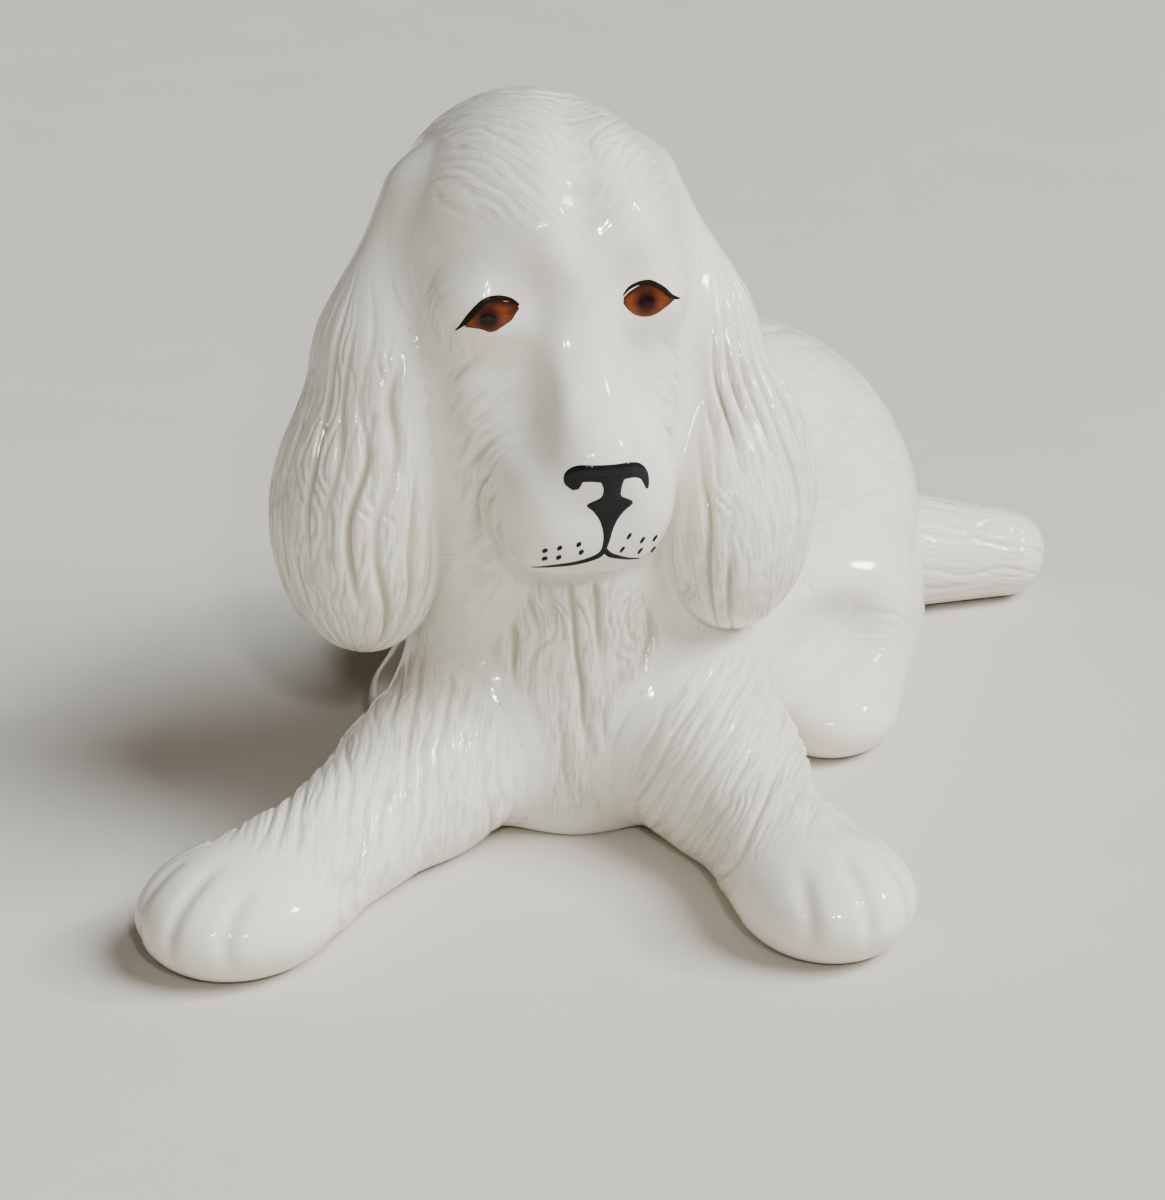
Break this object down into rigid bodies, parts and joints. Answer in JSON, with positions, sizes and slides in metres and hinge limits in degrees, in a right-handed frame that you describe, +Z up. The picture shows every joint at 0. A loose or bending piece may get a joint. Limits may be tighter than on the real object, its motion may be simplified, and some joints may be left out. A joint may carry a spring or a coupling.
{
  "type": "dog figurine",
  "caption": "Lying spaniel ornament in glazed white porcelain: hollow castings luted with slip, head turned, long ears, forelegs stretched out, painted amber eyes and black nose.",
  "frame": {"origin": "on the flat underside of the torso, on the table, under the middle of the chest and barrel", "axes": "+Z up, -Y the way the dog faces, +X the dog's left side"},
  "size_m": [0.1331, 0.1456, 0.1038],
  "materials": {
    "porcelain": "glossy clear glaze",
    "slip": "matt, under the glaze",
    "iris_enamel": "glossy amber enamel",
    "pupil_enamel": "glossy dark brown enamel",
    "black_enamel": "satin black enamel"
  },
  "bodies": {
    "root": {"torso": "porcelain", "head": "porcelain", "left_ear": "porcelain", "right_ear": "porcelain", "left_foreleg": "porcelain", "right_foreleg": "porcelain", "left_hind_leg": "porcelain", "right_hind_leg": "porcelain", "tail": "porcelain", "neck_slip": "slip", "left_ear_slip": "slip", "right_ear_slip": "slip", "left_foreleg_slip": "slip", "right_foreleg_slip": "slip", "left_hind_leg_slip": "slip", "right_hind_leg_slip": "slip", "tail_slip": "slip", "left_iris": "iris_enamel", "right_iris": "iris_enamel", "left_pupil": "pupil_enamel", "right_pupil": "pupil_enamel", "left_lid_line": "black_enamel", "right_lid_line": "black_enamel", "nose_enamel": "black_enamel", "mouth_line": "black_enamel", "whisker_dots": "black_enamel"}
  },
  "joints": []
}
